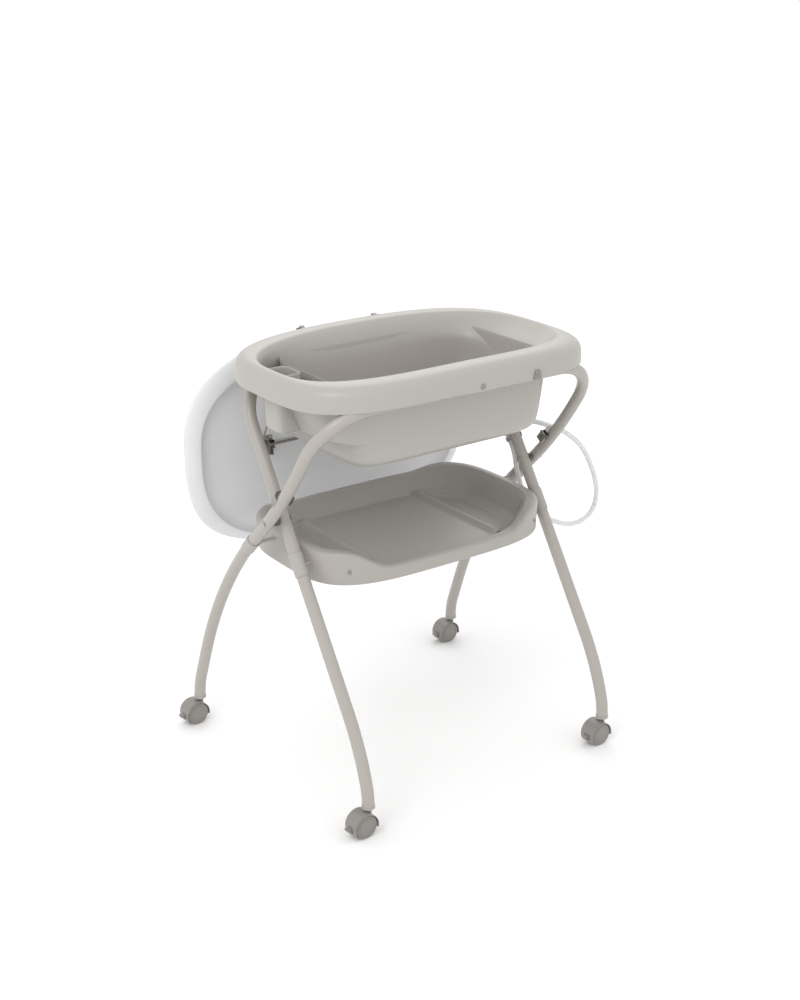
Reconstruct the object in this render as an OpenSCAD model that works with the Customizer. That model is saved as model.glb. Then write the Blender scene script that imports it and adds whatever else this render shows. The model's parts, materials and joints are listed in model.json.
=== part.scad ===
// Baby bath on a folding X frame, with a tray, a swing-over changing top and a drain hose.
// Z is up, X runs along the bath from left to right, Y runs from the front to the back.

/* [Bath tub] */
// Half of the length of the rim
rim_half_x = 345; // [300:1:400]
// Half of the width of the rim
rim_half_y = 232; // [200:1:260]
// Height of the top of the rim in the middle of the long sides
rim_top_z = 883; // [840:1:940]
// How far the rim bows down at its ends
rim_bow = 12; // [0:1:25]
// Height of the skirt that hangs from the rim
skirt_h = 49; // [40:1:60]
// Wall thickness of the tub
tub_wall = 3; // [2.5:0.1:4]
// Height of the underside of the deep part
tub_floor_z = 682; // [670:1:700]
// Middle of the tub, front to back
tub_y = -11; // [-14:0.5:-8]

/* [Frame] */
// Outer diameter of the steel tubes
tube_d = 25; // [22:0.5:26]
// Wall thickness of the steel tubes
tube_wall = 1.5; // [1:0.1:2.5]
// Middle of the inner legs from the middle of the bath
inner_x = 307; // [300:1:310]
// Middle of the outer legs at the height of the crossbars
outer_x = 338.5; // [337:0.5:345]
// Radius of the bend from each leg into its crossbar
corner_r = 115; // [90:1:120]

/* [Tray] */
// Half of the length of the tray
tray_half_x = 290; // [270:1:291]
// Half of the width of the tray
tray_half_y = 193; // [170:1:200]
// Height of the rim at the ends of the tray
tray_top_z = 519; // [510:1:524]
// Height of the lower edge of the tray
tray_low_z = 450; // [445:1:460]

/* [Changing top] */
// Half of the length of the changing top
top_half_x = 365; // [330:1:380]
// Half of its height as it hangs behind the bath
top_half_z = 238; // [220:1:245]
// Thickness of the padding
pad_t = 16; // [10:1:24]

/* [Casters] */
// Wheel diameter
wheel_d = 50; // [44:1:52]
// Width of one wheel of the pair
wheel_w = 14; // [10:0.5:15]
// Distance from the swivel stem to the wheel axle
trail = 15; // [8:1:18]

/* [Hidden] */
$fn = 64;

// colours
greige = [0.78, 0.77, 0.75];
tub_grey = [0.73, 0.72, 0.70];
tray_grey = [0.70, 0.69, 0.66];
pale = [0.92, 0.92, 0.93];
steel = [0.62, 0.61, 0.58];
clear_white = [0.90, 0.91, 0.91];
dark = [0.30, 0.29, 0.28];

// shared sizes
tube_r = tube_d / 2;
leg_end_z = 62;
bar_z = 827;
fit_gap = 0.3;
eps = 0.01;

// path of each leg in its own plane, from the foot up: [straight length] or [bend radius, angle]
// the angles lean the leg away from upright, positive towards the back
inner_foot_y = -293;
inner_path = [[150, 16.2], [482, 17], [595]];
outer_foot_y = 297;
outer_path = [[150, -20.6], [73.2], [926, -25.4], [36], [1030, 13.2]];
outer_splay = 1;

// where a path has got to after its first n steps: [y, z, lean]
function step_end(at, s) = len(s) == 1
    ? [at[0] + s[0] * sin(at[2]), at[1] + s[0] * cos(at[2]), at[2]]
    : let (a = at[2], b = at[2] + s[1], r = s[0] * sign(s[1]))
        [at[0] + r * (cos(a) - cos(b)), at[1] + r * (sin(b) - sin(a)), b];
function path_at(path, start, n) = n == 0 ? start : step_end(path_at(path, start, n - 1), path[n - 1]);

inner_start = [inner_foot_y, leg_end_z, 0];
outer_start = [outer_foot_y, leg_end_z, 0];
inner_top = path_at(inner_path, inner_start, len(inner_path));
outer_top = path_at(outer_path, outer_start, len(outer_path));
inner_bar = [inner_top[0] + corner_r * sin(inner_top[2]), inner_top[1] + corner_r * cos(inner_top[2])];
outer_bar = [outer_top[0] + corner_r * sin(outer_top[2]), outer_top[1] + corner_r * cos(outer_top[2])];

// the pivot where the legs cross
pivot = [-8.2, 566.6];

// one straight or bent length of round bar, standing on the origin and leaning in the YZ plane
module bar_step(s, r, turn_fn) {
    if (len(s) == 1)
        cylinder(r = r, h = s[0]);
    else
        mirror([0, s[1] < 0 ? 1 : 0, 0])
            translate([0, s[0], 0])
                rotate([90, 0, -90])
                    rotate_extrude(angle = abs(s[1]), $fn = turn_fn)
                        translate([s[0], 0])
                            circle(r = r);
}

module along(path, start, r, turn_fn = 256) {
    for (i = [0 : len(path) - 1]) {
        at = path_at(path, start, i);
        translate([0, at[0], at[1]])
            rotate([-at[2], 0, 0])
                bar_step(path[i], r, turn_fn);
    }
}

// the bend at the top of a leg, from its lean towards the middle of the bath
module corner(at, side, r, turn_fn = 128) {
    translate([0, at[0], at[1]])
        rotate([-at[2], 0, 0])
            mirror([side > 0 ? 1 : 0, 0, 0])
                translate([corner_r, 0, 0])
                    rotate([90, 0, 180])
                        rotate_extrude(angle = 90, $fn = turn_fn)
                            translate([corner_r, 0])
                                circle(r = r);
}

// the places along a leg where a ring of the tube is drawn: [y, z, lean], closer together on a wide bend
function step_parts(s) = len(s) == 1 ? 1 : ceil(abs(s[1]) / (s[0] > 400 ? 3.4 : 6));
function leg_places(path, start) = concat([start], [for (i = [0 : len(path) - 1], k = [1 : step_parts(path[i])])
    let (s = path[i], f = k / step_parts(s))
    step_end(path_at(path, start, i), len(s) == 1 ? [s[0] * f] : [s[0], s[1] * f])]);

// a turn about Y, through the top of the leg at a given height
function turned(v, q) = [v[0] * cos(q) + v[2] * sin(q), v[1], v[2] * cos(q) - v[0] * sin(q)];
function splay_frame(f, q, top_z) = [turned(f[0] - [0, 0, top_z], q) + [0, 0, top_z], turned(f[1], q), f[2]];

// a frame is a middle point and the two directions square to the tube
function leg_frame(at) = [[0, at[0], at[1]], [1, 0, 0], [0, cos(at[2]), -sin(at[2])]];
corner_parts = 9;
function corner_frame(at, side, b) = let (d = [0, sin(at[2]), cos(at[2])])
    [[0, at[0], at[1]] + corner_r * (sin(b) * d - (1 - cos(b)) * side * [1, 0, 0]),
        [cos(b), 0, 0] + side * sin(b) * d, [0, cos(at[2]), -sin(at[2])]];
function leg_frames(path, start, top, side, splay) = concat(
    [for (at = leg_places(path, start)) splay_frame(leg_frame(at), -side * splay, top[1])],
    [for (k = [1 : corner_parts]) corner_frame(top, side, 90 * k / corner_parts)]);

// a hollow tube through a list of frames
tube_sides = 18;
function tube_ring(f, r) = [for (i = [0 : tube_sides - 1])
    let (t = i * 360 / tube_sides) f[0] + r * (cos(t) * f[1] + sin(t) * f[2])];
module hollow_tube(frames, r, bore) {
    m = tube_sides;
    n = len(frames);
    inside = m * n;
    last = m * (n - 1);
    points = concat([for (f = frames) each tube_ring(f, r)], [for (f = frames) each tube_ring(f, bore)]);
    faces = [for (k = [0 : n - 2], i = [0 : m - 1])
        let (j = (i + 1) % m, a = k * m, b = a + m) each [
            [a + i, b + i, a + j], [a + j, b + i, b + j],
            [inside + a + j, inside + b + i, inside + a + i],
            [inside + b + j, inside + b + i, inside + a + j]]];
    ends = [for (i = [0 : m - 1])
        let (j = (i + 1) % m) each [
            [inside + i, i, j], [inside + i, j, inside + j],
            [inside + last + i, last + j, last + i],
            [inside + last + i, inside + last + j, last + j]]];
    polyhedron(points, concat(faces, ends));
}

module leg(path, start, top, side, x, splay) {
    color(greige)
        difference() {
            translate([side * x, 0, 0])
                hollow_tube(leg_frames(path, start, top, side, splay), tube_r, tube_r - tube_wall);
            translate([side * x, pivot[0], pivot[1]])
                rotate([0, 90, 0])
                    cylinder(d = pivot_d + 2 * fit_gap, h = 60, center = true, $fn = 24);
        }
}

pivot_d = 8;

module inner_leg(side) {
    leg(inner_path, inner_start, inner_top, side, inner_x, 0);
}

// the outer legs splay outwards by a degree towards the floor
module splayed(side) {
    translate([side * outer_x, 0, outer_top[1]])
        rotate([0, -side * outer_splay, 0])
            translate([0, 0, -outer_top[1]])
                children();
}

module outer_leg(side) {
    leg(outer_path, outer_start, outer_top, side, outer_x, outer_splay);
}

module inner_leg_left() {
    inner_leg(-1);
}

module inner_leg_right() {
    inner_leg(1);
}

module outer_leg_left() {
    outer_leg(-1);
}

module outer_leg_right() {
    outer_leg(1);
}

// a straight crossbar between the ends of two corner bends
module crossbar(at, half) {
    color(greige)
        translate([-half, at[0], at[1]])
            rotate([0, 90, 0])
                difference() {
                    cylinder(r = tube_r, h = 2 * half);
                    translate([0, 0, -1])
                        cylinder(r = tube_r - tube_wall, h = 2 * half + 2);
                }
}

inner_bar_half = inner_x - corner_r;
outer_bar_half = outer_x - corner_r;

module inner_crossbar() {
    crossbar(inner_bar, inner_bar_half);
}

module outer_crossbar() {
    crossbar(outer_bar, outer_bar_half);
}

// the outer leg's place sideways at a height
function outer_x_at(z) = outer_x + (outer_top[1] - z) * tan(outer_splay);

pivot_gap = outer_x_at(pivot[1]) - inner_x - tube_d;

module pivot_rivets() {
    color(steel)
        for (side = [-1, 1])
            mirror([side < 0 ? 1 : 0, 0, 0])
                translate([inner_x, pivot[0], pivot[1]])
                    rotate([0, 90, 0]) {
                        translate([0, 0, -tube_r - 1])
                            cylinder(d = pivot_d, h = tube_d + outer_x_at(pivot[1]) - inner_x + 2);
                        translate([0, 0, -tube_r - 3])
                            cylinder(d1 = 9, d2 = 14, h = 2);
                        translate([0, 0, outer_x_at(pivot[1]) - inner_x + tube_r + 1])
                            cylinder(d1 = 14, d2 = 9, h = 2);
                    }
}

// plastic washers that keep the inner and outer legs apart
module pivot_spacers() {
    color(dark)
        for (side = [-1, 1])
            mirror([side < 0 ? 1 : 0, 0, 0])
                translate([inner_x + tube_r, pivot[0], pivot[1]])
                    rotate([0, 90, 0])
                        difference() {
                            cylinder(d = 18, h = pivot_gap - 0.15);
                            translate([0, 0, -1])
                                cylinder(d = pivot_d + 2 * fit_gap, h = pivot_gap + 2);
                        }
}

// plastic sockets pressed into the feet of the legs, each bored for a caster stem
socket_bore = 8;
module ferrule() {
    difference() {
        union() {
            translate([0, 0, leg_end_z - 5])
                cylinder(r = tube_r + 0.8, h = 5);
            translate([0, 0, leg_end_z - 7])
                cylinder(r1 = tube_r - 2, r2 = tube_r + 0.8, h = 2);
            translate([0, 0, leg_end_z - eps])
                cylinder(r = tube_r - tube_wall - 1, h = 10);
        }
        translate([0, 0, leg_end_z - 8])
            cylinder(d = socket_bore, h = 28);
    }
}

module inner_ferrules() {
    color(greige)
        for (side = [-1, 1])
            translate([side * inner_x, inner_foot_y, 0])
                ferrule();
}

module outer_ferrules() {
    color(greige)
        for (side = [-1, 1])
            translate([side * outer_x_at(leg_end_z), outer_foot_y, 0])
                ferrule();
}

// plastic collars on the legs, each with a peg that carries the tray
collar_r = tube_r + 2;
inner_peg_z = 487.4;
inner_peg = [inner_top[0] - (inner_top[1] - inner_peg_z) * tan(inner_top[2]), inner_peg_z];
inner_peg_lean = inner_top[2];
outer_peg = [60.6, 500];
outer_peg_lean = -44.2;
peg_d = 8;
peg_end_x = 282;

module collar(peg, lean, x, h, bore) {
    translate([x, peg[0], peg[1]])
        rotate([-lean, 0, 0])
            difference() {
                translate([0, 0, -h / 2])
                    cylinder(r = collar_r, h = h);
                translate([0, 0, -h / 2 - 1])
                    cylinder(r = bore, h = h + 2);
            }
}

module peg(at, from_x) {
    translate([peg_end_x, at[0], at[1]])
        rotate([0, 90, 0])
            cylinder(d = peg_d, h = from_x - peg_end_x);
}

module inner_collars() {
    color(greige)
        for (side = [-1, 1])
            mirror([side < 0 ? 1 : 0, 0, 0]) {
                collar(inner_peg, inner_peg_lean, inner_x, 46, tube_r);
                peg(inner_peg, inner_x - tube_r - 0.5);
            }
}

module outer_collars() {
    color(greige)
        for (side = [-1, 1])
            mirror([side < 0 ? 1 : 0, 0, 0]) {
                difference() {
                    translate([outer_x_at(outer_peg[1]), outer_peg[0], outer_peg[1]])
                        rotate([0, -outer_splay, 0])
                            translate([0, -outer_peg[0], -outer_peg[1]])
                                collar(outer_peg, outer_peg_lean, 0, 34, tube_r - 1);
                    splayed(1)
                        along(outer_path, outer_start, tube_r);
                }
                peg(outer_peg, outer_x_at(outer_peg[1]) - tube_r - 0.5);
            }
}

// sheet steel catches under the rim, one on each outer leg
catch_y = -52;
catch_z = 628;
module stay_clips() {
    color(steel)
        for (side = [-1, 1])
            mirror([side < 0 ? 1 : 0, 0, 0])
                difference() {
                    translate([outer_x_at(catch_z), catch_y, catch_z])
                        rotate([39.5, 0, 0]) {
                            difference() {
                                union() {
                                    translate([0, 0, -12])
                                        cylinder(r = tube_r + 1.6, h = 24);
                                    translate([-tube_r - 9, -10, -12])
                                        cube([10, 2, 24]);
                                    translate([-tube_r - 9, 6, -12])
                                        cube([10, 2, 24]);
                                    translate([-tube_r - 11, -10, -12])
                                        cube([2, 18, 24]);
                                }
                                translate([-60, -1, 0])
                                    rotate([0, 90, 0])
                                        cylinder(d = 7, h = 40);
                            }
                            translate([-tube_r - 6, -14, 4])
                                rotate([-90, 0, 0])
                                    cylinder(d = 4, h = 26);
                        }
                    splayed(1)
                        along(outer_path, outer_start, tube_r);
                }
}

// ---- rings and lofts for the moulded shells ----

// a rounded rectangle as a closed list of points, with its height bowed down towards the ends
function oval(a, b, n, xc, yc, z, bow, m) = [for (i = [0 : m - 1])
    let (c = cos(i * 360 / m), s = sin(i * 360 / m),
        x = xc + a * sign(c) * pow(abs(c), 2 / n), y = yc + b * sign(s) * pow(abs(s), 2 / n))
    [x, y, z - bow * pow(x / rim_half_x, 2)]];

function mean(v) = [for (k = [0 : 2]) let (q = [for (p = v) p[k]]) (max(q) + min(q)) / 2];

// which way a ring turns, as a vector square to it
function ring_normal(r) = let (m = len(r), q = [for (i = [0 : m - 1]) cross(r[i], r[(i + 1) % m])])
    [for (k = [0 : 2]) sum([for (v = q) v[k]])];
function sum(v) = v * [for (i = v) 1];

// a closed solid through a list of rings, with a middle point in each end
module loft(list) {
    forward = ring_normal(list[0]) * (mean(list[len(list) - 1]) - mean(list[0])) > 0;
    rings = forward ? list : [for (i = [len(list) - 1 : -1 : 0]) list[i]];
    m = len(rings[0]);
    n = len(rings);
    points = concat([for (r = rings) each r], [mean(rings[0]), mean(rings[n - 1])]);
    faces = concat(
        [for (k = [0 : n - 2], i = [0 : m - 1])
            let (j = (i + 1) % m) [k * m + i, (k + 1) * m + i, k * m + j]],
        [for (k = [0 : n - 2], i = [0 : m - 1])
            let (j = (i + 1) % m) [k * m + j, (k + 1) * m + i, (k + 1) * m + j]],
        [for (i = [0 : m - 1]) [n * m, i, (i + 1) % m]],
        [for (i = [0 : m - 1]) [n * m + 1, (n - 1) * m + (i + 1) % m, (n - 1) * m + i]]);
    polyhedron(points, faces);
}

// ---- the bath ----

tub_points = 72;
rim_n = 3.44;

// rings of the rim's outer shape: [height under the top, inset at the ends, inset at the sides]
rim_rings = [[-skirt_h, 0, 0], [-22, 0.5, 0.5], [-13, 2.5, 2.5], [-7, 6, 6.5], [-3, 11, 13],
    [-0.8, 16, 21], [0, 24, 31]];
// rings of the hollow under the rim
hollow_rings = [[-skirt_h - 1, 3, 3], [-20, 3.6, 3.6], [-14, 6, 6.5], [-9, 11, 12], [-6, 18, 24]];
// rings of the opening: [height, half length, half width]
mouth_rings = [[3, 326, 183], [-1, 320, 176.5], [-5, 315, 172.5], [-12, 309, 168], [-22, 298, 163],
    [-32, 284, 159]];
// rings of the shallow part: [height, middle, half length, half width]
shallow_rings = [[854, -28, 276, 160], [800, -25, 268, 153], [757, -19, 260, 147], [747, -17, 255, 142],
    [741, -16, 248, 134], [738, -16, 238, 124]];
// rings of the deep part
deep_rings = [[851, 8, 243, 159], [800, 8, 241, 153], [722, 8, 234, 145], [704, 8, 231, 141],
    [692, 8, 225, 135], [685, 8, 216, 126], [682, 8, 203, 113]];

function rim_loft(list, extra) = concat(
    [for (r = list) oval(rim_half_x - r[1], rim_half_y - r[2], rim_n, 0, tub_y, rim_top_z + r[0], rim_bow,
        tub_points)],
    [for (k = [0.6, 0.3, 0.1]) oval(rim_half_x * k, rim_half_y * k, rim_n, 0, tub_y, rim_top_z + extra,
        rim_bow, tub_points)]);

// a wall thickness grows or shrinks the tub's own shapes
function mouth_loft(t) = concat(
    t > 0 ? [] : [oval(mouth_rings[0][1], mouth_rings[0][2], 4, 0, tub_y, rim_top_z + 20, rim_bow, tub_points)],
    [for (r = mouth_rings)
        oval(r[1] + t, r[2] + t, 4, 0, tub_y, rim_top_z + r[0] - (t > 0 ? 3.2 : 0), rim_bow, tub_points)]);
function pan_loft(list, t, n) = [for (r = list)
    oval(r[2] - t, r[3] - t, n, r[1], tub_y, r[0] + t, 0, tub_points)];

cup_x = -290;
cup_y = 10;
cup_top_z = 862;
cup_low_z = 744;

module cup_block(t) {
    translate([cup_x - 27 + t, cup_y - 32 + t, cup_low_z + t])
        linear_extrude(cup_top_z - cup_low_z + (t > 0 ? 10 : 0))
            rounded_square([54 - 2 * t, 64 - 2 * t], 12 - t);
}

// an exact rectangle with round corners
module rounded_square(size, r) {
    translate([r, 0])
        square([size[0] - 2 * r, size[1]]);
    translate([0, r])
        square([size[0], size[1] - 2 * r]);
    for (x = [r, size[0] - r], y = [r, size[1] - r])
        translate([x, y])
            circle(r = r, $fn = 24);
}

// blocks under the rim that sit on the two crossbars
module saddle(x, bar) {
    translate([x - 13, bar[0] - 11, bar[1] + 11])
        cube([26, 22, rim_top_z - 6.5 - rim_bow * pow((abs(x) + 13) / rim_half_x, 2) - bar[1] - 9]);
}

// the drain hole, its plug and its outlet
drain_x = 188;
drain_y = tub_y;
drain_d = 34;

rim_button_z = 841;
button_d = 13;
tab_x = 136;
tab_z = 841;

module rim_tab_shape(grow) {
    polygon([[-9 - grow, -9 - grow], [9 + grow, -9 - grow], [5.5 + grow, 9 + grow], [-5.5 - grow, 9 + grow]]);
}

module tub_shell() {
    color(tub_grey)
        difference() {
            union() {
                difference() {
                    loft(rim_loft(rim_rings, 0));
                    loft(rim_loft(hollow_rings, -6));
                }
                loft(mouth_loft(tub_wall));
                loft(pan_loft(shallow_rings, 0, 5));
                loft(pan_loft(deep_rings, 0, 7));
                difference() {
                    cup_block(0);
                    translate([cup_x - 60, cup_y - 60, cup_top_z])
                        cube([120, 120, 60]);
                }
                for (x = [-150, -50, 50, 150]) {
                    saddle(x, outer_bar);
                    saddle(x, inner_bar);
                }
                // a lip under the button, moulded onto the skirt
                translate([0, tub_y - rim_half_y + 12, rim_top_z - skirt_h - 3])
                    intersection() {
                        cylinder(r = 36, h = 9);
                        translate([-30, -11.5, 0])
                            cube([60, 2.5, 9]);
                    }
            }
            difference() {
                union() {
                    loft(mouth_loft(0));
                    loft(pan_loft(shallow_rings, tub_wall, 5));
                }
                cup_block(0);
            }
            loft(pan_loft(deep_rings, tub_wall, 7));
            cup_block(tub_wall);
            translate([drain_x, drain_y, tub_floor_z - 10])
                cylinder(d = drain_d, h = 30, $fn = 32);
            // bores for the button and the tab through the skirt
            translate([0, tub_y - rim_half_y - 5, rim_button_z])
                rotate([-90, 0, 0])
                    cylinder(d = button_d + 2 * fit_gap, h = 12);
            translate([tab_x, tub_y - rim_half_y + 12, tab_z])
                rotate([90, 0, 0])
                    linear_extrude(20)
                        rim_tab_shape(fit_gap);
            // round notches where the corner bends pass under the skirt
            for (side = [-1, 1]) {
                translate([side * inner_x, 0, 0])
                    corner(inner_top, side, tube_r + 1.5, 48, $fn = 20);
                translate([side * outer_x, 0, 0])
                    corner(outer_top, side, tube_r + 1.5, 48, $fn = 20);
            }
            for (bar = [outer_bar, inner_bar])
                translate([0, bar[0], bar[1]])
                    rotate([0, 90, 0])
                        cylinder(r = tube_r + fit_gap, h = 340, center = true, $fn = 48);
        }
}

// four round feet under the deep part
module tub_feet() {
    color(tub_grey)
        for (x = [-150, 140], y = [-78, 78])
            translate([x, tub_y + y, tub_floor_z])
                mirror([0, 0, 1]) {
                    cylinder(d1 = 34, d2 = 28, h = 5);
                    cylinder(d = 22, h = 8);
                }
}

// the outlet under the drain, an elbow that ends in a mouth for the hose
hose_d = 11;
mouth_x = 258;
mouth_z = 660;

module drain_elbow() {
    color(tub_grey)
        difference() {
            union() {
                translate([drain_x, drain_y, tub_floor_z - 4])
                    cylinder(d = drain_d + 14, h = 4);
                translate([drain_x, drain_y, tub_floor_z - 34])
                    cylinder(d = drain_d + 4, h = 34);
                translate([drain_x, drain_y, mouth_z])
                    rotate([0, 90, 0])
                        cylinder(d = hose_d + 8, h = mouth_x - drain_x);
            }
            translate([drain_x, drain_y, tub_floor_z - 30])
                cylinder(d = drain_d - 2, h = 40);
            translate([drain_x, drain_y, mouth_z])
                rotate([0, 90, 0])
                    cylinder(d = hose_d - 2, h = 100);
        }
}

module drain_plug() {
    color(pale)
        translate([drain_x, drain_y, tub_floor_z + tub_wall]) {
            translate([0, 0, 0.5])
                cylinder(d = drain_d + 4, h = 3);
            translate([0, 0, -7])
                cylinder(d1 = drain_d - 5, d2 = drain_d - 2, h = 7.6);
            difference() {
                translate([-8, -2, 3])
                    cube([16, 4, 14]);
                translate([0, -3, 11])
                    rotate([-90, 0, 0])
                        cylinder(d = 7, h = 6);
            }
        }
}

// the round button on the middle of the rim's front
module rim_button() {
    color(greige)
        translate([0, tub_y - rim_half_y - 1.5, rim_button_z])
            rotate([-90, 0, 0]) {
                cylinder(d1 = button_d - 2, d2 = button_d, h = 1.5);
                translate([0, 0, 1.49])
                    cylinder(d = button_d, h = 7);
                translate([0, 0, 7])
                    cylinder(d = button_d + 5, h = 2);
            }
}

module rim_tab() {
    color(greige)
        translate([tab_x, tub_y - rim_half_y + 8, tab_z])
            rotate([90, 0, 0]) {
                linear_extrude(9.5)
                    rim_tab_shape(0);
                translate([0, -1, 9.49])
                    cylinder(d = 7, h = 1.3);
            }
}

// ---- the drain hose ----

// the hose leaves the outlet, loops out on the right and comes up to its clip behind the leg
hose_route = [[258, -11, 660], [290, -12, 659], [325, -15, 651], [363, -20, 636], [408, -20, 614],
    [463, -20, 570], [500, -20, 510], [518, -20, 455], [514, -20, 415], [489, -20, 390], [445, -20, 385],
    [400, -16, 400], [362, -8, 424], [335, 0, 455], [318, 8, 495], [310, 16, 535], [309, 26, 573],
    [309, 47, 605]];
hose_steps = 4;

// a smooth curve through the route
function smooth_at(p0, p1, p2, p3, t) = 0.5 * (2 * p1 + (p2 - p0) * t
    + (2 * p0 - 5 * p1 + 4 * p2 - p3) * t * t + (3 * p1 - p0 - 3 * p2 + p3) * t * t * t);
function route_point(r, i) = r[max(0, min(len(r) - 1, i))];
hose_points = concat([for (i = [0 : len(hose_route) - 2], k = [0 : hose_steps - 1])
    smooth_at(route_point(hose_route, i - 1), hose_route[i], hose_route[i + 1],
        route_point(hose_route, i + 2), k / hose_steps)], [hose_route[len(hose_route) - 1]]);

function unit(v) = v / norm(v);
function tangent(p, i) = i == 0 ? [1, 0, 0] : i == len(p) - 1 ? [0, sin(inner_top[2]), cos(inner_top[2])] : unit(p[i + 1] - p[i - 1]);

// one ring of the hose, square to the route
function hose_ring(p, i, r, sides) = let (t = tangent(p, i), u = unit(cross(t, [0.1, 1, 0.05])), v = cross(t, u))
    [for (k = [0 : sides - 1]) p[i] + r * (u * cos(k * 360 / sides) + v * sin(k * 360 / sides))];

module hose() {
    color(clear_white)
        loft([for (i = [0 : len(hose_points) - 1]) hose_ring(hose_points, i, hose_d / 2, 10)]);
}

hose_end = hose_route[len(hose_route) - 1];

// a frame at the end of the hose, in line with the leg beside it
module at_hose_end() {
    translate([hose_end[0], hose_end[1], hose_end[2]])
        rotate([-inner_top[2], 0, 0])
            children();
}

// the plug-on end of the hose
module hose_nozzle() {
    color(pale)
        at_hose_end()
            difference() {
                union() {
                    cylinder(d = hose_d + 4, h = 12);
                    translate([0, 0, 12])
                        cylinder(d1 = hose_d + 1, d2 = hose_d - 3, h = 16);
                }
                translate([0, 0, 2])
                    cylinder(d = 5, h = 40);
            }
}

// the snap-on clip that holds the end of the hose behind the right inner leg
clip_h = 10;
clip_below = 14;
leg_back_y = inner_top[0] - (inner_top[1] - hose_end[2]) * tan(inner_top[2]);
clip_reach = (hose_end[1] - leg_back_y) * cos(inner_top[2]);
clip_side = inner_x - hose_end[0];
module hose_clip() {
    color(greige)
        at_hose_end()
            translate([0, 0, -clip_below])
                difference() {
                    union() {
                        cylinder(d = hose_d + 5, h = clip_h);
                        translate([clip_side, -clip_reach, 0])
                            cylinder(r = tube_r + 2, h = clip_h);
                        translate([-4, -clip_reach + tube_r + 0.5, 0])
                            cube([6, clip_reach - tube_r - hose_d / 2, clip_h]);
                    }
                    translate([0, 0, -1])
                        cylinder(d = hose_d + 1.2, h = clip_h + 2);
                    translate([-4, 0, -1])
                        cube([8, 20, clip_h + 2]);
                    translate([clip_side, -clip_reach, -1])
                        cylinder(r = tube_r + 0.1, h = clip_h + 2);
                    translate([clip_side - 9, -clip_reach - 20, -1])
                        cube([18, 20, clip_h + 2]);
                }
}

// ---- the tray ----

tray_y = 31;
tray_points = 64;
tray_mid_front_z = 479;
tray_mid_back_z = 504;
tray_floor_z = 464;
ridge_x = 150;

function smooth(t) = let (c = max(0, min(1, t))) c * c * (3 - 2 * c);
// the height of the tray's rim: low in the middle of the long sides, high at the ends
function tray_rim(x, y) = let (low = y < tray_y ? tray_mid_front_z : tray_mid_back_z,
        side = smooth(abs(y - tray_y) / 60))
    low + (tray_top_z - low) * max(smooth((abs(x) - 150) / 90), 1 - side);

// a ring of the tray: inset from the outside, and how far up from a height to the rim it lies
function tray_ring(inset, z, up, drop) = [for (p = oval(tray_half_x - inset, tray_half_y - inset, 3.8, 0,
    tray_y, 0, 0, tray_points)) [p[0], p[1], z + (tray_rim(p[0], p[1]) - z) * up - drop]];

module tray_shape(grow) {
    loft([if (grow == 0) tray_ring(20, 560, 0, 0),
        tray_ring(20 - grow, tray_low_z, 1, -6 + (grow > 0 ? 3 : 0) - (grow > 0 ? 6 : 0)),
        tray_ring(22 - grow, tray_low_z, 1, 1 + grow), tray_ring(25 - grow, tray_low_z, 1, 5 + grow),
        tray_ring(30 - grow, tray_floor_z - grow, 0.55, 0), tray_ring(36 - grow, tray_floor_z - grow, 0.2, 0),
        tray_ring(42 - grow, tray_floor_z - grow, 0.05, 0), tray_ring(50 - grow, tray_floor_z - grow, 0, 0)]);
}

// the deeper pockets at the ends
module tray_pocket(side, grow) {
    translate([side * 205, tray_y, tray_floor_z - 9 - grow])
        linear_extrude(20)
            translate([-37 - grow, -135 - grow])
                rounded_square([74 + 2 * grow, 270 + 2 * grow], 20);
}

module ridge(side) {
    translate([side * (ridge_x + 3), tray_y - 160, tray_floor_z - 1])
        rotate([-90, 0, 0])
            linear_extrude(320)
                polygon([[-16, 0], [-10, -3], [-5, -8], [-2, -9.5], [2, -9.5], [5, -8], [10, -3], [16, 0]]);
}

module tray_shell() {
    color(tray_grey)
        difference() {
            union() {
                difference() {
                    union() {
                        difference() {
                            loft([tray_ring(3, tray_low_z, 0, 0), tray_ring(1, tray_low_z, 0.6, 0),
                                tray_ring(0, tray_low_z, 1, 11), tray_ring(1.5, tray_low_z, 1, 5),
                                tray_ring(5, tray_low_z, 1, 1.5), tray_ring(11, tray_low_z, 1, 0),
                                tray_ring(60, tray_low_z, 1, 0), tray_ring(140, tray_low_z, 1, 0)]);
                            loft([tray_ring(6, tray_low_z - 1, 0, 0), tray_ring(4, tray_low_z, 0.6, 0),
                                tray_ring(3.5, tray_low_z, 1, 14), tray_ring(7, tray_low_z, 1, 6),
                                tray_ring(12, tray_low_z, 1, 3.4), tray_ring(60, tray_low_z, 1, 3.4),
                                tray_ring(140, tray_low_z, 1, 3.4)]);
                        }
                        tray_shape(3);
                        for (side = [-1, 1])
                            tray_pocket(side, 2.5);
                    }
                    tray_shape(0);
                    for (side = [-1, 1])
                        tray_pocket(side, 0);
                }
                intersection() {
                    for (side = [-1, 1])
                        ridge(side);
                    tray_shape(1);
                }
            }
            // slots that drop over the pegs on the collars
            for (side = [-1, 1])
                mirror([side < 0 ? 1 : 0, 0, 0]) {
                    peg_slot(inner_peg, 0.4, 0.4);
                    peg_slot(outer_peg, 19, 4);
                }
            for (x = [-235, 235])
                translate([x, tray_y - tray_half_y - 10, 478])
                    rotate([-90, 0, 0])
                        cylinder(d = 5, h = 40);
        }
}

// an upright slot, open below, with room in front of and behind its peg
module peg_slot(at, front, back) {
    translate([peg_end_x - 2, at[0] - peg_d / 2 - front, tray_low_z - 2])
        cube([20, peg_d + front + back, at[1] + peg_d / 2 - tray_low_z + 2]);
}

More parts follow.
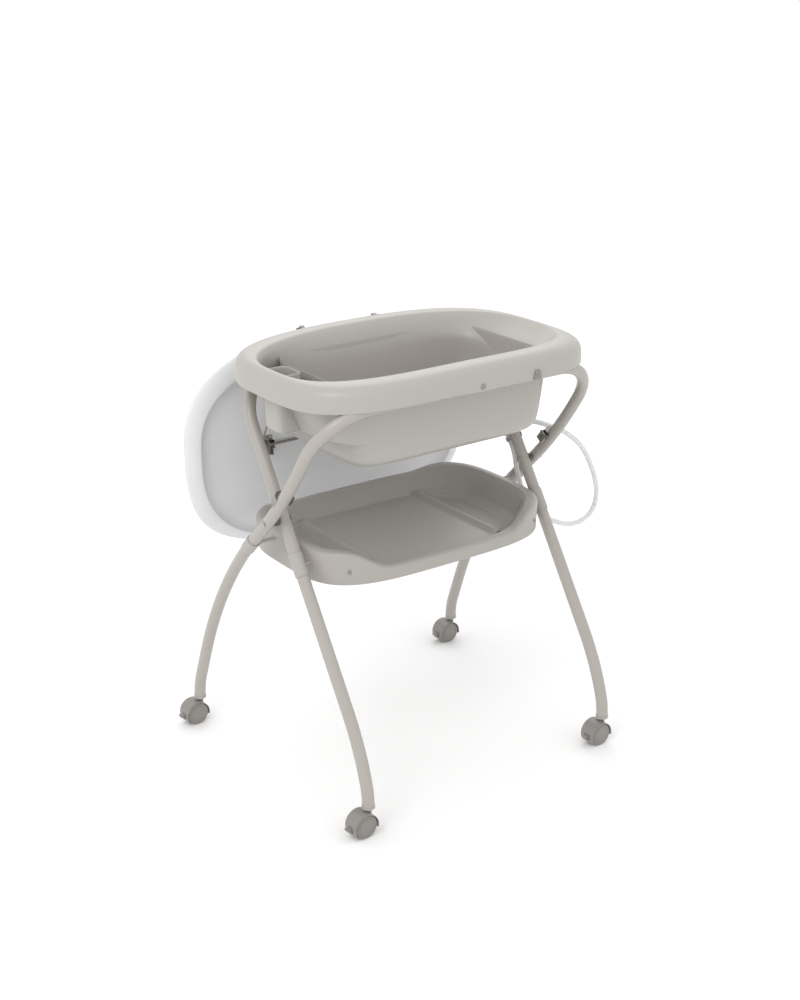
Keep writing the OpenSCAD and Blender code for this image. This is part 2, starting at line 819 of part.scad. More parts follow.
module tray_screws() {
    color(dark)
        for (x = [-235, 235])
            translate([x, tray_front_y(x) - 1.2, 478])
                rotate([-90, 0, 0])
                    difference() {
                        union() {
                            cylinder(d = 9, h = 1.4);
                            cylinder(d = 4.6, h = 12);
                        }
                        translate([0, 0, -1])
                            cylinder(d = 3, h = 1.8, $fn = 6);
                    }
}
// the front face of the tray at a place along it
function tray_front_y(x) = tray_y - tray_half_y * pow(1 - pow(abs(x) / tray_half_x, 3.8), 1 / 3.8) + 1;

// ---- the changing top, hanging behind the bath ----

hinge = [250, 866];
rod = [270, 617];
top_mid_z = 630;
// how much shorter the top is above its middle than below it
top_trim = 14;
arm_top_x = 104;
arm_low_x = 190;
wire_d = 4;
rod_d = 6;

// a ring of the changing top in an upright plane, rounder above than below
function panel_ring(inset, y, m) = [for (i = [0 : m - 1])
    let (c = cos(i * 360 / m), s = sin(i * 360 / m), n = s > 0 ? 2.5 : 3.2, side_in = inset * (s > 0 ? 1 : 1 + 0.7 * s),
        x = (top_half_x - inset * 0.75) * sign(c) * pow(abs(c), 2 / n),
        z = (top_half_z - (s > 0 ? top_trim : 0) - side_in) * sign(s) * pow(abs(s), 2 / n))
    [x, y, top_mid_z + z]];

panel_points = 80;

module changer_shell() {
    color(pale)
        difference() {
            loft([panel_ring(4, 284, panel_points), panel_ring(0, 281, panel_points),
                panel_ring(2, 277, panel_points), panel_ring(16, 270, panel_points),
                panel_ring(30, 265.5, panel_points), panel_ring(36, 264, panel_points),
                panel_ring(40, 264.5, panel_points)]);
            loft([panel_ring(41, 262, panel_points), panel_ring(44, 266, panel_points),
                panel_ring(52, 273, panel_points), panel_ring(66, 278, panel_points),
                panel_ring(90, 280, panel_points)]);
            // openings in the lower edge for the arms, which pass here when the top is over the bath
            for (side = [-1, 1])
                translate([side * 117 - 16, 255, top_mid_z - top_half_z - 10])
                    cube([32, 22, 70]);
        }
}

module changer_pad() {
    color(pale)
        loft([panel_ring(14, 284.3, panel_points), panel_ring(9, 289, panel_points),
            panel_ring(9, 284 + pad_t - 4, panel_points), panel_ring(15, 284 + pad_t, panel_points),
            panel_ring(40, 284 + pad_t, panel_points), panel_ring(70, 284 + pad_t - 5, panel_points)]);
}

// steel brackets on the underside that hold the cross rod
bracket_x = 165;
module changer_brackets() {
    color(steel)
        for (x = [-bracket_x, bracket_x])
            translate([x - 10, 0, rod[1] - 27])
                difference() {
                    union() {
                        translate([0, 278.2, 0])
                            cube([20, 1.8, 46]);
                        translate([2, rod[0] - 5.5, 18])
                            cube([2, 14, 18]);
                        translate([16, rod[0] - 5.5, 18])
                            cube([2, 14, 18]);
                        translate([2, rod[0] + 1.5, 1])
                            cube([2, 7, 18]);
                        translate([16, rod[0] + 1.5, 1])
                            cube([2, 7, 18]);
                    }
                    translate([-1, rod[0], 27])
                        rotate([0, 90, 0])
                            cylinder(d = rod_d + 0.6, h = 24);
                    for (z = [7, 40])
                        translate([10, 270, z])
                            rotate([-90, 0, 0])
                                cylinder(d = 4.4, h = 20);
                }
}

module bracket_screws() {
    color(steel)
        for (x = [-bracket_x, bracket_x], z = [7, 40])
            translate([x, 278.2, rod[1] - 27 + z])
                rotate([90, 0, 0])
                    difference() {
                        union() {
                            cylinder(d = 8, h = 2);
                            translate([0, 0, -5])
                                cylinder(d = 4, h = 5.5);
                        }
                        translate([0, 0, 1])
                            cylinder(d = 3, h = 2, $fn = 6);
                    }
}

// the wire arms: a place along the arm, and how far it stands out towards the bath
arm_dir = unit([rod[0] - hinge[0], rod[1] - hinge[1]]);
arm_len = norm([rod[0] - hinge[0], rod[1] - hinge[1]]);
function arm_point(along_arm, out) = [arm_top_x + (arm_low_x - arm_top_x) * along_arm / arm_len,
    hinge[0] + along_arm * arm_dir[0] + out * arm_dir[1], hinge[1] + along_arm * arm_dir[1] - out * arm_dir[0]];
arm_points = [arm_point(0, 0), arm_point(11, 1), arm_point(26, 19), arm_point(34, 21), arm_point(92, 21),
    arm_point(104, 17), arm_point(122, 3), arm_point(arm_len, 0)];

module rod_between(a, b, d) {
    v = b - a;
    translate(a)
        rotate([0, acos(v[2] / norm(v)), atan2(v[1], v[0])])
            cylinder(d = d, h = norm(v));
}

module bail_arms() {
    color(steel)
        for (side = [-1, 1])
            mirror([side < 0 ? 1 : 0, 0, 0]) {
                for (i = [0 : len(arm_points) - 2])
                    rod_between(arm_points[i], arm_points[i + 1], wire_d);
                for (i = [1 : len(arm_points) - 2])
                    translate(arm_points[i])
                        sphere(d = wire_d + 0.4, $fn = 32);
                translate([arm_top_x - 18, hinge[0], hinge[1]])
                    rotate([0, 90, 0])
                        cylinder(d = wire_d, h = 18);
                translate([arm_low_x - 4, rod[0], rod[1]])
                    rotate([0, 90, 0])
                        difference() {
                            cylinder(d = rod_d + 6, h = 8);
                            translate([0, 0, -1])
                                cylinder(d = rod_d, h = 10);
                        }
            }
}

module bail_rod() {
    color(steel)
        translate([-arm_low_x - 6, rod[0], rod[1]])
            rotate([0, 90, 0])
                cylinder(d = rod_d, h = 2 * arm_low_x + 12);
}

// steel brackets on the back crossbar that carry the arms, reaching out under the skirt
module bail_brackets() {
    color(steel)
        for (side = [-1, 1])
            mirror([side < 0 ? 1 : 0, 0, 0])
                difference() {
                    union() {
                        translate([88, inner_bar[0], inner_bar[1]])
                            rotate([0, 90, 0])
                                cylinder(r = tube_r + 2.5, h = 8);
                        translate([88, inner_bar[0], inner_bar[1] - tube_r - 2.5])
                            cube([8, 88, 10]);
                        translate([88, 244, inner_bar[1] - tube_r - 2.5])
                            cube([8, 13, hinge[1] - inner_bar[1] + tube_r + 2.5]);
                        translate([88, hinge[0] + 0.5, hinge[1]])
                            rotate([0, 90, 0])
                                cylinder(d = 10, h = 8);
                    }
                    translate([80, inner_bar[0], inner_bar[1]])
                        rotate([0, 90, 0])
                            cylinder(r = tube_r, h = 30);
                    translate([80, hinge[0], hinge[1]])
                        rotate([0, 90, 0])
                            cylinder(d = wire_d + 0.6, h = 30);
                }
}

// ---- the casters ----

wheel_z = wheel_d / 2;
hood_r = wheel_d / 2 + 2.6;
web_half = 2.5;
hood_half = web_half + wheel_w + 1.6;
axle_d = 6;
axle_half = web_half + wheel_w - 1.8;
stem_d = 7.5;
stem_low_z = 48.2;

// a caster's places on the floor: [x, y]
caster_fl = [-inner_x, inner_foot_y];
caster_fr = [inner_x, inner_foot_y];
caster_bl = [-outer_x_at(leg_end_z), outer_foot_y];
caster_br = [outer_x_at(leg_end_z), outer_foot_y];

// the axle runs along Y and trails behind the stem
module on_axle(at) {
    translate([at[0] - trail, at[1], wheel_z])
        rotate([90, 0, 0])
            children();
}

// a pie slice that cuts the hood back to the part of a turn that it covers
module hood_cover() {
    rotate([0, 0, -14])
        translate([0, 0, -50])
            rotate_extrude(angle = 236)
                square([60, 100]);
}

module housing(at) {
    color(greige) {
        difference() {
            union() {
                on_axle(at) {
                    intersection() {
                        difference() {
                            translate([0, 0, -hood_half])
                                cylinder(r = hood_r, h = 2 * hood_half);
                            translate([0, 0, -hood_half - 1])
                                cylinder(r = hood_r - 1.6, h = 2 * hood_half + 2);
                        }
                        hood_cover();
                    }
                    intersection() {
                        translate([0, 0, -web_half])
                            cylinder(r = hood_r - 0.5, h = 2 * web_half);
                        hood_cover();
                    }
                    translate([0, 0, -web_half])
                        cylinder(d = 14, h = 2 * web_half);
                }
                translate([at[0], at[1], 34])
                    cylinder(d = stem_d + 5, h = stem_low_z + 5 - 34);
            }
            on_axle(at)
                translate([0, 0, -30])
                    cylinder(d = axle_d, h = 60);
            translate([at[0], at[1], stem_low_z])
                cylinder(d = stem_d, h = 20);
            // room for the wheels beside the stem boss
            on_axle(at)
                for (side = [-1, 1])
                    translate([0, 0, side > 0 ? web_half : -web_half - wheel_w - 0.6])
                        cylinder(r = wheel_d / 2 + 0.6, h = wheel_w + 0.6);
            on_axle(at)
                brake_pocket();
        }
    }
}

module brake_pocket() {
    rotate([0, 0, 188])
        translate([wheel_d / 2 - 0.2, -7, -6.6])
            cube([13, 14, 13.2]);
}

module stem(at) {
    color(steel)
        translate([at[0], at[1], stem_low_z]) {
            cylinder(d = stem_d, h = leg_end_z + 8 - stem_low_z);
            translate([0, 0, 5])
                cylinder(d = 13, h = 1.6);
        }
}

module axle(at) {
    color(steel)
        on_axle(at)
            translate([0, 0, -axle_half])
                cylinder(d = axle_d, h = 2 * axle_half);
}

module one_wheel() {
    difference() {
        union() {
            translate([0, 0, 1.5])
                cylinder(d = wheel_d, h = wheel_w - 3.3);
            translate([0, 0, 0.3])
                cylinder(d1 = wheel_d - 2.4, d2 = wheel_d, h = 1.21);
            translate([0, 0, wheel_w - 1.81])
                cylinder(d1 = wheel_d, d2 = wheel_d - 3, h = 1.51);
            translate([0, 0, wheel_w - 0.31])
                cylinder(d = wheel_d - 11, h = 0.9);
        }
        translate([0, 0, -1])
            cylinder(d = axle_d + 0.3, h = wheel_w - 0.5);
        // a shallow ring pressed into the cover disc
        translate([0, 0, wheel_w + 0.2])
            difference() {
                cylinder(d = wheel_d - 16, h = 2);
                translate([0, 0, -1])
                    cylinder(d = wheel_d - 19, h = 4);
            }
    }
}

module wheels(at) {
    color(greige)
        on_axle(at) {
            translate([0, 0, web_half])
                one_wheel();
            mirror([0, 0, 1])
                translate([0, 0, web_half])
                    one_wheel();
        }
}

// a small lever in the back of the hood that presses on the wheels
module brake(at) {
    color(greige)
        on_axle(at)
            rotate([0, 0, 188]) {
                translate([wheel_d / 2 + 1.2, -6, -6])
                    cube([5.5, 11, 12]);
                translate([wheel_d / 2 + 5, -6, -6])
                    cube([7, 4, 12]);
            }
}

module housing_fl() {
    housing(caster_fl);
}

module stem_fl() {
    stem(caster_fl);
}

module axle_fl() {
    axle(caster_fl);
}

module wheels_fl() {
    wheels(caster_fl);
}

module brake_fl() {
    brake(caster_fl);
}

module housing_fr() {
    housing(caster_fr);
}

module stem_fr() {
    stem(caster_fr);
}

module axle_fr() {
    axle(caster_fr);
}

module wheels_fr() {
    wheels(caster_fr);
}

module brake_fr() {
    brake(caster_fr);
}

module housing_bl() {
    housing(caster_bl);
}

module stem_bl() {
    stem(caster_bl);
}

module axle_bl() {
    axle(caster_bl);
}

module wheels_bl() {
    wheels(caster_bl);
}

module brake_bl() {
    brake(caster_bl);
}

module housing_br() {
    housing(caster_br);
}

module stem_br() {
    stem(caster_br);
}

module axle_br() {
    axle(caster_br);
}

module wheels_br() {
    wheels(caster_br);
}

module brake_br() {
    brake(caster_br);
}

inner_leg_left();
inner_leg_right();
inner_crossbar();
outer_leg_left();
outer_leg_right();
outer_crossbar();
pivot_rivets();
pivot_spacers();
inner_ferrules();
outer_ferrules();
inner_collars();
outer_collars();
stay_clips();
bail_brackets();
tub_shell();
tub_feet();
drain_elbow();
drain_plug();
rim_button();
rim_tab();
hose();
hose_nozzle();
hose_clip();
tray_shell();
tray_screws();
changer_shell();
changer_pad();
changer_brackets();
bracket_screws();
bail_arms();
bail_rod();
housing_fl();
stem_fl();
axle_fl();
wheels_fl();
brake_fl();
housing_fr();
stem_fr();
axle_fr();
wheels_fr();
brake_fr();
housing_bl();
stem_bl();
axle_bl();
wheels_bl();
brake_bl();
housing_br();
stem_br();
axle_br();
wheels_br();
brake_br();
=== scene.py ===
import bpy
import bmesh
import json
from math import radians, sin, cos, tan, pi, ceil
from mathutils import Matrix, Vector


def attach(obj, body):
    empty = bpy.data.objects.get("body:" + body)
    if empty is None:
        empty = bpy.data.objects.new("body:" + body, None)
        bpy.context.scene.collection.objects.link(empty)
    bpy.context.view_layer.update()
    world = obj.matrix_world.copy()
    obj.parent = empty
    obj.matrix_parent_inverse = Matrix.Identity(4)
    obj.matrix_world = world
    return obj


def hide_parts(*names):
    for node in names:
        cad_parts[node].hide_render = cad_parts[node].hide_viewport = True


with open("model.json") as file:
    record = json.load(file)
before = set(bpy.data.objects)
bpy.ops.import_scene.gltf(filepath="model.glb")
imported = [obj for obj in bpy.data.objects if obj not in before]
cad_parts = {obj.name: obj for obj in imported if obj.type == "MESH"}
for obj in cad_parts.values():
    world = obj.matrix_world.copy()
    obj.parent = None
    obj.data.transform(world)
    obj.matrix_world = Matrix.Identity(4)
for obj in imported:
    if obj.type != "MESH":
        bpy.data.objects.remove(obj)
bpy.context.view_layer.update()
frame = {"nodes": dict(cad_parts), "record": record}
mm = 0.001

# small helpers


def deselectAll():
    if bpy.context.object and bpy.context.object.mode != 'OBJECT':
        bpy.ops.object.mode_set(mode='OBJECT')
    bpy.ops.object.select_all(action='DESELECT')


def superPoints(left, right, low, high, power, sides):
    # a rounded rectangle as x, y pairs, one for each spoke
    midX, midY = (left + right) / 2, (low + high) / 2
    halfX, halfY = (right - left) / 2, (high - low) / 2
    out = []
    for i in range(sides):
        c, s = cos(2 * pi * i / sides), sin(2 * pi * i / sides)
        out.append((midX + halfX * (abs(c) ** (2 / power)) * (1 if c >= 0 else -1),
                    midY + halfY * (abs(s) ** (2 / power)) * (1 if s >= 0 else -1)))
    return out


def placeRing(mesh, points):
    # moves the selected ring onto its points, spoke by spoke
    work = bmesh.from_edit_mesh(mesh)
    spoke = work.verts.layers.int['spoke']
    for v in work.verts:
        if v.select:
            v.co = [k * mm for k in points[v[spoke]]]
    bmesh.update_edit_mesh(mesh)


def ringStack(name, rings):
    # a circle drawn at the middle of the first ring, then extruded from ring to ring and drawn together at the end
    deselectAll()
    sides = len(rings[0])
    middle = [tuple(sum(p[k] for p in ring) / sides for k in range(3)) for ring in (rings[0], rings[-1])]
    rings = [[middle[0]] * sides] + list(rings) + [[middle[1]] * sides]
    bpy.ops.mesh.primitive_circle_add(vertices=sides, radius=0.1, fill_type='NOTHING')
    piece = bpy.context.object
    piece.name = name
    piece.data.name = name
    bpy.ops.object.mode_set(mode='EDIT')
    work = bmesh.from_edit_mesh(piece.data)
    spoke = work.verts.layers.int.new('spoke')
    for i, v in enumerate(work.verts):
        v[spoke] = i
    bmesh.update_edit_mesh(piece.data)
    bpy.ops.mesh.select_all(action='SELECT')
    placeRing(piece.data, rings[0])
    for ring in rings[1:]:
        bpy.ops.mesh.extrude_edges_move()
        placeRing(piece.data, ring)
    bpy.ops.mesh.select_all(action='SELECT')
    bpy.ops.mesh.remove_doubles(threshold=0.000005)
    bpy.ops.mesh.normals_make_consistent(inside=False)
    bpy.ops.object.mode_set(mode='OBJECT')
    return piece


def smoothPiece(piece, levels=1, angle=40):
    deselectAll()
    piece.select_set(True)
    bpy.context.view_layer.objects.active = piece
    if levels:
        sub = piece.modifiers.new('soften', 'SUBSURF')
        sub.levels = levels
        sub.render_levels = levels
        bpy.ops.object.modifier_apply(modifier='soften')
    bpy.ops.object.shade_smooth_by_angle(angle=radians(angle))
    return piece


def addMaterial(piece, material):
    piece.data.materials.clear()
    piece.data.materials.append(material)


def finishPiece(piece, body, slot, material, *nodes):
    addMaterial(piece, material)
    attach(piece, body)
    if nodes:
        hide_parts(*nodes)


# finishes

def effectGroup():
    # grain, mottling and dull patches that every finish shares
    group = bpy.data.node_groups.new('surfaceLife', 'ShaderNodeTree')
    face = group.interface
    face.new_socket(name='Base', in_out='INPUT', socket_type='NodeSocketColor')
    for label, value in (('Mottle Scale', 12), ('Mottle Amount', 0.03), ('Grain Scale', 900),
                         ('Roughness', 0.35),
                         ('Roughness Spread', 0.08)):
        face.new_socket(name=label, in_out='INPUT', socket_type='NodeSocketFloat').default_value = value
    face.new_socket(name='Color', in_out='OUTPUT', socket_type='NodeSocketColor')
    face.new_socket(name='Roughness', in_out='OUTPUT', socket_type='NodeSocketFloat')
    face.new_socket(name='Height', in_out='OUTPUT', socket_type='NodeSocketFloat')
    n, link = group.nodes, group.links.new
    entry, exitNode = n.new('NodeGroupInput'), n.new('NodeGroupOutput')
    place = n.new('ShaderNodeTexCoord')
    cloud = n.new('ShaderNodeTexNoise')
    cloud.inputs['Detail'].default_value = 4
    link(place.outputs['Object'], cloud.inputs['Vector'])
    link(entry.outputs['Mottle Scale'], cloud.inputs['Scale'])
    grain = n.new('ShaderNodeTexNoise')
    grain.inputs['Detail'].default_value = 2
    link(place.outputs['Object'], grain.inputs['Vector'])
    link(entry.outputs['Grain Scale'], grain.inputs['Scale'])
    swing = n.new('ShaderNodeMath')
    swing.operation = 'SUBTRACT'
    link(cloud.outputs['Fac'], swing.inputs[0])
    swing.inputs[1].default_value = 0.5
    shade = n.new('ShaderNodeMath')
    shade.operation = 'MULTIPLY_ADD'
    link(swing.outputs[0], shade.inputs[0])
    link(entry.outputs['Mottle Amount'], shade.inputs[1])
    shade.inputs[2].default_value = 1.0
    tint = n.new('ShaderNodeMix')
    tint.data_type = 'RGBA'
    tint.blend_type = 'MULTIPLY'
    tint.inputs['Factor'].default_value = 1.0
    link(entry.outputs['Base'], tint.inputs['A'])
    link(shade.outputs[0], tint.inputs['B'])
    link(tint.outputs['Result'], exitNode.inputs['Color'])
    rough = n.new('ShaderNodeMath')
    rough.operation = 'MULTIPLY_ADD'
    link(swing.outputs[0], rough.inputs[0])
    link(entry.outputs['Roughness Spread'], rough.inputs[1])
    link(entry.outputs['Roughness'], rough.inputs[2])
    link(rough.outputs[0], exitNode.inputs['Roughness'])
    link(grain.outputs['Fac'], exitNode.inputs['Height'])
    return group


surfaceLife = effectGroup()


def makeFinish(name, color, roughness=0.35, spread=0.08, mottle=0.03, mottleScale=12, grainScale=900, bump=0.08,
               bumpDistance=0.0002, metallic=0.0, sheen=0.0,
               transmission=0.0, subsurface=0.0):
    material = bpy.data.materials.new(name)
    material.use_nodes = True
    n, link = material.node_tree.nodes, material.node_tree.links.new
    shader = n['Principled BSDF']
    life = n.new('ShaderNodeGroup')
    life.node_tree = surfaceLife
    life.inputs['Base'].default_value = (*color, 1)
    life.inputs['Mottle Scale'].default_value = mottleScale
    life.inputs['Mottle Amount'].default_value = mottle
    life.inputs['Grain Scale'].default_value = grainScale
    life.inputs['Roughness'].default_value = roughness
    life.inputs['Roughness Spread'].default_value = spread
    link(life.outputs['Color'], shader.inputs['Base Color'])
    link(life.outputs['Roughness'], shader.inputs['Roughness'])
    relief = n.new('ShaderNodeBump')
    relief.inputs['Strength'].default_value = bump
    relief.inputs['Distance'].default_value = bumpDistance
    link(life.outputs['Height'], relief.inputs['Height'])
    link(relief.outputs['Normal'], shader.inputs['Normal'])
    shader.inputs['Metallic'].default_value = metallic
    shader.inputs['Sheen Weight'].default_value = sheen
    shader.inputs['Transmission Weight'].default_value = transmission
    shader.inputs['Subsurface Weight'].default_value = subsurface
    shader.inputs['Subsurface Scale'].default_value = 0.01
    return material


finishes = {
    'tub': makeFinish('bathPlastic', (0.415, 0.395, 0.365), 0.33, 0.10, 0.02, 9, 700, 0.05),
    'tray': makeFinish('trayPlastic', (0.385, 0.362, 0.335), 0.35, 0.10, 0.02, 9, 700, 0.05),
    'frame': makeFinish('tubePaint', (0.40, 0.375, 0.345), 0.26, 0.08, 0.02, 14, 1400, 0.10),
    'fitting': makeFinish('fittingPlastic', (0.40, 0.378, 0.352), 0.38, 0.08, 0.03, 20, 1600, 0.15),
    'caster': makeFinish('casterPlastic', (0.25, 0.235, 0.22), 0.34, 0.08, 0.04, 30, 1800, 0.15),
    'spacer': makeFinish('washerPlastic', (0.10, 0.097, 0.093), 0.5, 0.1, 0.05, 30, 1500, 0.2),
    'steel': makeFinish('zincSteel', (0.33, 0.315, 0.29), 0.24, 0.12, 0.10, 60, 2500, 0.2, metallic=1.0),
    'wire': makeFinish('wireSteel', (0.28, 0.265, 0.25), 0.28, 0.12, 0.12, 60, 2500, 0.2, metallic=1.0),
    'changer': makeFinish('changerPlastic', (0.72, 0.725, 0.735), 0.42, 0.08, 0.015, 8, 900, 0.06),
    'pad': makeFinish('padCover', (0.83, 0.83, 0.84), 0.5, 0.10, 0.03, 10, 1100, 0.35, bumpDistance=0.0006,
                      sheen=0.1),
    'hose': makeFinish('hosePlastic', (0.83, 0.84, 0.84), 0.22, 0.06, 0.03, 30, 1200, 0.05, transmission=0.25,
                       subsurface=0.2),
    'rimParts': makeFinish('rimParts', (0.26, 0.25, 0.235), 0.34, 0.08, 0.02, 20, 1400, 0.05),
    'plug': makeFinish('plugRubber', (0.75, 0.75, 0.74), 0.5, 0.08, 0.03, 30, 1500, 0.2),
}

# which finish each carried-over node takes
nodeFinish = {'tube_paint': 'frame', 'frame_plastic': 'fitting', 'spacer_plastic': 'spacer',
              'rivet_steel': 'frame',
              'clip_steel': 'steel', 'screw_steel': 'steel', 'wire_steel': 'wire', 'tub_plastic': 'tub',
              'rim_parts': 'rimParts', 'plug_rubber': 'plug', 'hose_plastic': 'hose', 'hose_fitting': 'changer',
              'tray_plastic': 'tray', 'changer_plastic': 'changer', 'pad_cover': 'pad',
              'caster_plastic': 'caster', 'wheel_plastic': 'caster', 'caster_steel': 'steel'}
for part in frame['record']['subparts']:
    node = frame['nodes'][part['node']]
    for slot in node.material_slots:
        slot.material = finishes[nodeFinish[part['material_slot']]]
print('finishes ready')

# camera, light and floor

cameraSetup = {'place': (-1.773, -2.423, 1.683), 'forward': (0.548, 0.757, -0.357), 'lens': 55.54}
studio = {'floorSize': 80, 'floorWhite': 0.97, 'sky': 1.05,
          # place, size, power
          'keyLight': ((-2.6, -1.2, 3.2), 1.8, 30), 'rearLight': ((1.6, 2.4, 2.8), 2.2, 14)}


def makeStage():
    lens = bpy.data.cameras.new('camera')
    lens.lens = cameraSetup['lens']
    lens.sensor_width = 36
    lens.sensor_fit = 'AUTO'
    camera = bpy.data.objects.new('camera', lens)
    bpy.context.collection.objects.link(camera)
    camera.location = cameraSetup['place']
    camera.rotation_euler = Vector(cameraSetup['forward']).to_track_quat('-Z', 'Y').to_euler()
    bpy.context.scene.camera = camera
    deselectAll()
    bpy.ops.mesh.primitive_plane_add(size=studio['floorSize'], location=(0, 0, 0))
    floor = bpy.context.object
    floor.name = 'studioFloor'
    white = bpy.data.materials.new('studioWhite')
    white.use_nodes = True
    white.node_tree.nodes['Principled BSDF'].inputs['Base Color'].default_value = (*[studio['floorWhite']] * 3, 1)
    white.node_tree.nodes['Principled BSDF'].inputs['Roughness'].default_value = 0.9
    white.node_tree.nodes['Principled BSDF'].inputs['Specular IOR Level'].default_value = 0.0
    floor.data.materials.append(white)
    sky = bpy.context.scene.world or bpy.data.worlds.new('studio')
    bpy.context.scene.world = sky
    sky.use_nodes = True
    sky.node_tree.nodes['Background'].inputs['Color'].default_value = (1, 1, 1, 1)
    sky.node_tree.nodes['Background'].inputs['Strength'].default_value = studio['sky']
    for name in ('keyLight', 'rearLight'):
        place, size, power = studio[name]
        lamp = bpy.data.lights.new(name, 'AREA')
        lamp.size = size
        lamp.energy = power
        light = bpy.data.objects.new(name, lamp)
        bpy.context.collection.objects.link(light)
        light.location = place
        light.rotation_euler = (Vector((0, 0, 0.5)) - Vector(place)).to_track_quat('-Z', 'Y').to_euler()
    bpy.context.scene.view_settings.view_transform = 'Standard'


makeStage()
print('stage ready')

# the bath

bathShape = {
    'sides': 144, 'middleY': -11, 'bow': 12, 'halfLength': 345,
    # height, left, right, half width, squareness, how much of the bow
    'inside': [(685, -30, 46, 20, 3, 0), (685, -120, 136, 65, 4, 0), (685, -190, 206, 108, 6, 0),
               (688.5, -203, 219, 121, 7, 0), (696, -212, 228, 131, 7, 0), (708, -218, 234, 137, 7, 0),
               (726, -222, 238, 141, 7, 0), (740, -224, 240, 143, 7, 0), (743.5, -232, 241, 143.5, 6.5, 0),
               (744, -250, 241.5, 144, 6, 0), (748, -263, 242, 144.5, 5.5, 0), (760, -274, 243, 145.5, 5.2, 0),
               (800, -289, 246, 149, 5, 0), (826, -297, 249, 153, 4.2, 0.2), (838, -300, 257, 156, 3.9, 0.5),
               (849, -303, 271, 159.5, 3.6, 0.8), (861, -307, 289, 165, 3.3, 1), (871, -311, 304, 171, 3.1, 1),
               (878, -316, 314, 177, 3, 1), (881.6, -319, 319, 181, 2.95, 1)],
    'rim': [(882.8, -321, 321, 185, 2.98, 1), (883, -322.5, 322.5, 193, 3.1, 1), (883, -325, 325, 203, 3.25, 1),
            (882.2, -329, 329, 211, 3.36, 1), (880, -334, 334, 219, 3.44, 1), (876, -339, 339, 225.5, 3.44, 1),
            (870, -342.5, 342.5, 229.5, 3.44, 1), (861, -344.5, 344.5, 231.5, 3.44, 1),
            (847, -345, 345, 232, 3.44, 1),
            (837, -345, 345, 232, 3.44, 1), (834.4, -344.8, 344.8, 231.8, 3.44, 1),
            (833.9, -343.6, 343.6, 230.6, 3.44, 1),
            (834.4, -342.3, 342.3, 229.3, 3.44, 1), (840, -342, 342, 229, 3.44, 1),
            (863, -341.4, 341.4, 228.4, 3.44, 1),
            (869, -339, 339, 225.5, 3.44, 1), (874, -334, 334, 219, 3.44, 1), (877.5, -326, 326, 206, 3.3, 1),
            (878, -323, 322, 191, 3.1, 1), (873, -319, 316, 182, 3, 1)],
    'outside': [(866, -313, 303, 173, 3.1, 1), (855, -310, 287, 167, 3.3, 1), (845, -307, 272, 163, 3.5, 0.7),
                (836, -304, 261, 160, 3.8, 0.4), (826, -301, 253.5, 157, 4.1, 0.2),
                (800, -292.5, 249.3, 152, 5, 0),
                (761, -278.5, 245, 148, 5.2, 0), (748, -270, 243.4, 146, 5.4, 0),
                (741, -262, 242.5, 144.5, 5.8, 0),
                (738.6, -250, 242, 144.3, 6.2, 0), (738.4, -233, 241.6, 144.2, 6.6, 0),
                (734, -225.6, 241, 143.9, 7, 0),
                (722, -223.4, 239.6, 142.4, 7, 0), (706, -219.6, 235.6, 138.6, 7, 0),
                (693.5, -213.4, 229.4, 132.4, 7, 0),
                (686, -204.4, 220.4, 122.4, 7, 0), (683.4, -191, 207, 109, 6, 0), (683.4, -120, 136, 65, 4, 0),
                (683.4, -30, 46, 20, 3, 0)],
    'bellyInside': [(682.7, -30, 46, 20, 3, 0), (682.7, -120, 136, 65, 4, 0), (682.9, -191, 207, 109, 6, 0),
                    (685.6, -205, 221, 123, 7, 0), (693, -214.8, 230.8, 133.6, 8, 0),
                    (705, -221.4, 237.4, 139.8, 8, 0),
                    (722, -224.6, 240.8, 143.6, 8, 0), (800, -231.5, 247.5, 151.8, 8, 0),
                    (848, -233.4, 249.4, 157.6, 8, 0.4)],
    'belly': [(852, -234, 250, 158.4, 8, 0.4), (852, -235, 251, 159.2, 8, 0.4), (848, -235, 251, 158.8, 8, 0.4),
              (800, -233, 249, 153.2, 8.5, 0),
              (722, -226.3, 242.3, 145.2, 8.5, 0), (704, -223.2, 239.2, 141.2, 8.5, 0),
              (692, -217.4, 233.4, 135.4, 8, 0),
              (685.2, -208, 224, 126, 7.5, 0), (682, -196, 212, 114, 7, 0), (682, -120, 136, 65, 4, 0),
              (682, -30, 46, 20, 3, 0)],
    'cup': [(752, 12, 16), (752, 21, 26), (756, 23.5, 28.5), (858, 24, 29), (861.4, 24.5, 29.5),
            (862, 25.6, 30.6),
            (861.4, 26.7, 31.7), (858, 27, 32), (760, 27, 32), (748, 26, 31), (744, 22, 27), (744, 12, 16)],
    'cupMiddle': (-290, 10),
}


def bathRing(z, left, right, half, power, bowed):
    mid, bow, long = bathShape['middleY'], bathShape['bow'], bathShape['halfLength']
    flat = superPoints(left, right, mid - half, mid + half, power, bathShape['sides'])
    return [(x, y, z - bow * bowed * (x / long) ** 2) for x, y in flat]


